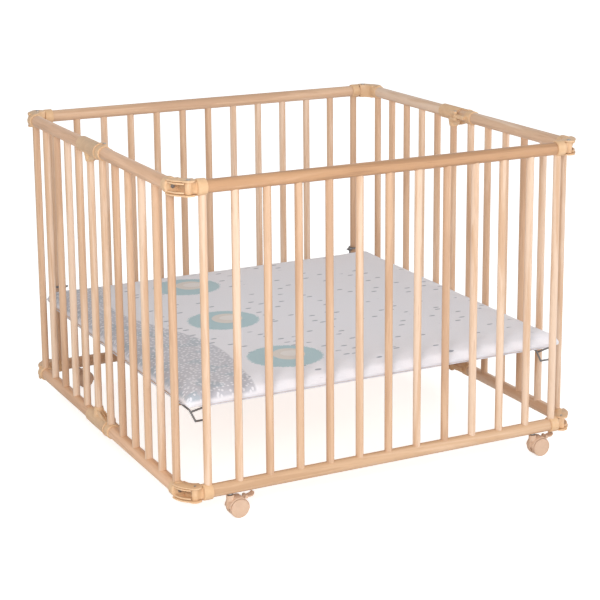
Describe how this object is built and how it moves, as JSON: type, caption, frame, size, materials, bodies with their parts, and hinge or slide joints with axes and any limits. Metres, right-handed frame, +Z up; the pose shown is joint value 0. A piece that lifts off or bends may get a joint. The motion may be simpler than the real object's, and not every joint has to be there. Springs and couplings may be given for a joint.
{
  "type": "folding playpen",
  "caption": "Square folding playpen with barred sides on round rails, corner and middle hinges, a raised padded floor and four twin-wheel casters.",
  "frame": {"origin": "on the ground under the middle of the pen", "axes": "+X to the right along the front, +Y from the front to the back, +Z up"},
  "size_m": [1.044, 1.042, 0.7676],
  "materials": {
    "beech_rail": "clear satin lacquer on beech",
    "beech_bar": "clear satin lacquer on beech",
    "cream_plastic": "satin moulded plastic",
    "caster_plastic": "satin moulded plastic",
    "wheel_plastic": "satin moulded plastic",
    "zinc_steel": "zinc plated",
    "wire": "bright drawn wire",
    "board": "plywood, lacquered",
    "mat_cover": "coated cotton over foam, soft print"
  },
  "bodies": {
    "back_panel": {"back_top_rail": "beech_rail", "back_bottom_rail": "beech_rail", "back_bars": "beech_bar", "back_collars": "cream_plastic", "back_hinge_pins": "zinc_steel", "back_caster_sockets": "zinc_steel"},
    "front_panel": {"front_top_rail": "beech_rail", "front_bottom_rail": "beech_rail", "front_bars": "beech_bar", "front_collars": "cream_plastic", "front_hinge_pins": "zinc_steel", "front_caster_sockets": "zinc_steel"},
    "left_rear_half": {"left_rear_rails": "beech_rail", "left_rear_bars": "beech_bar", "left_rear_elbows": "cream_plastic", "left_rear_screws": "zinc_steel", "left_middle_sleeves": "cream_plastic", "left_middle_pins": "zinc_steel"},
    "left_front_half": {"left_front_rails": "beech_rail", "left_front_bars": "beech_bar", "left_front_elbows": "cream_plastic", "left_front_screws": "zinc_steel", "left_middle_leaves": "cream_plastic"},
    "right_rear_half": {"right_rear_rails": "beech_rail", "right_rear_bars": "beech_bar", "right_rear_elbows": "cream_plastic", "right_rear_screws": "zinc_steel", "right_middle_sleeves": "cream_plastic", "right_middle_pins": "zinc_steel"},
    "right_front_half": {"right_front_rails": "beech_rail", "right_front_bars": "beech_bar", "right_front_elbows": "cream_plastic", "right_front_screws": "zinc_steel", "right_middle_leaves": "cream_plastic"},
    "floor_carrier": {"rear_rings": "wire"},
    "floor": {"floor_board": "board", "mat": "mat_cover", "rear_hangers": "wire", "front_wires": "wire", "wire_clips": "cream_plastic"},
    "caster_fl": {"caster_fl_hood": "caster_plastic", "caster_fl_stem": "zinc_steel", "caster_fl_axle": "zinc_steel"},
    "caster_fl_wheel_pair": {"caster_fl_wheels": "wheel_plastic"},
    "caster_fr": {"caster_fr_hood": "caster_plastic", "caster_fr_stem": "zinc_steel", "caster_fr_axle": "zinc_steel"},
    "caster_fr_wheel_pair": {"caster_fr_wheels": "wheel_plastic"},
    "caster_bl": {"caster_bl_hood": "caster_plastic", "caster_bl_stem": "zinc_steel", "caster_bl_axle": "zinc_steel"},
    "caster_bl_wheel_pair": {"caster_bl_wheels": "wheel_plastic"},
    "caster_br": {"caster_br_hood": "caster_plastic", "caster_br_stem": "zinc_steel", "caster_br_axle": "zinc_steel"},
    "caster_br_wheel_pair": {"caster_br_wheels": "wheel_plastic"},
    "caster_fl_brake": {"caster_fl_lever": "caster_plastic"},
    "caster_fr_brake": {"caster_fr_lever": "caster_plastic"}
  },
  "joints": [
    {"name": "side_fold", "type": "hinge", "parent": "back_panel", "child": "left_rear_half", "pos_m": [-0.481, 0.5025, 0.409], "axis": [0, 0, -1], "range_deg": [0, 78]},
    {"name": "left_middle_hinge", "type": "hinge", "parent": "left_rear_half", "child": "left_front_half", "pos_m": [-0.481, 0, 0.409], "axis": [0, 0, 1], "range_deg": [0, 156]},
    {"name": "front_left_hinge", "type": "hinge", "parent": "left_front_half", "child": "front_panel", "pos_m": [-0.481, -0.5025, 0.409], "axis": [0, 0, -1], "range_deg": [0, 78]},
    {"name": "back_right_hinge", "type": "hinge", "parent": "back_panel", "child": "right_rear_half", "pos_m": [0.481, 0.5025, 0.409], "axis": [0, 0, 1], "range_deg": [0, 78]},
    {"name": "right_middle_hinge", "type": "hinge", "parent": "right_rear_half", "child": "right_front_half", "pos_m": [0.481, 0, 0.409], "axis": [0, 0, -1], "range_deg": [0, 156]},
    {"name": "floor_height", "type": "slide", "parent": "back_panel", "child": "floor_carrier", "axis": [0, 0, 1], "range_m": [-0.15, 0]},
    {"name": "floor_tilt", "type": "hinge", "parent": "floor_carrier", "child": "floor", "pos_m": [0, 0.488, 0.29], "axis": [-1, 0, 0], "range_deg": [0, 90]},
    {"name": "caster_fl_swivel", "type": "hinge", "parent": "front_panel", "child": "caster_fl", "pos_m": [-0.398, -0.5025, 0.05], "axis": [0, 0, 1], "continuous": true},
    {"name": "caster_fl_roll", "type": "hinge", "parent": "caster_fl", "child": "caster_fl_wheel_pair", "pos_m": [-0.381, -0.5025, 0.0215], "axis": [0, 1, 0], "continuous": true},
    {"name": "caster_fr_swivel", "type": "hinge", "parent": "front_panel", "child": "caster_fr", "pos_m": [0.398, -0.5025, 0.05], "axis": [0, 0, 1], "continuous": true},
    {"name": "caster_fr_roll", "type": "hinge", "parent": "caster_fr", "child": "caster_fr_wheel_pair", "pos_m": [0.415, -0.5025, 0.0215], "axis": [0, 1, 0], "continuous": true},
    {"name": "caster_bl_swivel", "type": "hinge", "parent": "back_panel", "child": "caster_bl", "pos_m": [-0.398, 0.5025, 0.05], "axis": [0, 0, 1], "continuous": true},
    {"name": "caster_bl_roll", "type": "hinge", "parent": "caster_bl", "child": "caster_bl_wheel_pair", "pos_m": [-0.381, 0.5025, 0.0215], "axis": [0, 1, 0], "continuous": true},
    {"name": "caster_br_swivel", "type": "hinge", "parent": "back_panel", "child": "caster_br", "pos_m": [0.398, 0.5025, 0.05], "axis": [0, 0, 1], "continuous": true},
    {"name": "caster_br_roll", "type": "hinge", "parent": "caster_br", "child": "caster_br_wheel_pair", "pos_m": [0.415, 0.5025, 0.0215], "axis": [0, 1, 0], "continuous": true},
    {"name": "caster_fl_brake_press", "type": "hinge", "parent": "caster_fl", "child": "caster_fl_brake", "pos_m": [-0.362, -0.5025, 0.043], "axis": [0, 1, 0], "range_deg": [0, 12]},
    {"name": "caster_fr_brake_press", "type": "hinge", "parent": "caster_fr", "child": "caster_fr_brake", "pos_m": [0.434, -0.5025, 0.043], "axis": [0, 1, 0], "range_deg": [0, 12]}
  ],
  "couplings": [
    {"joint": "left_middle_hinge", "follows": "side_fold", "ratio": 2},
    {"joint": "front_left_hinge", "follows": "side_fold", "ratio": 1},
    {"joint": "back_right_hinge", "follows": "side_fold", "ratio": 1},
    {"joint": "right_middle_hinge", "follows": "side_fold", "ratio": 2},
    {"joint": "floor_tilt", "follows": "side_fold", "ratio": 1.15}
  ]
}
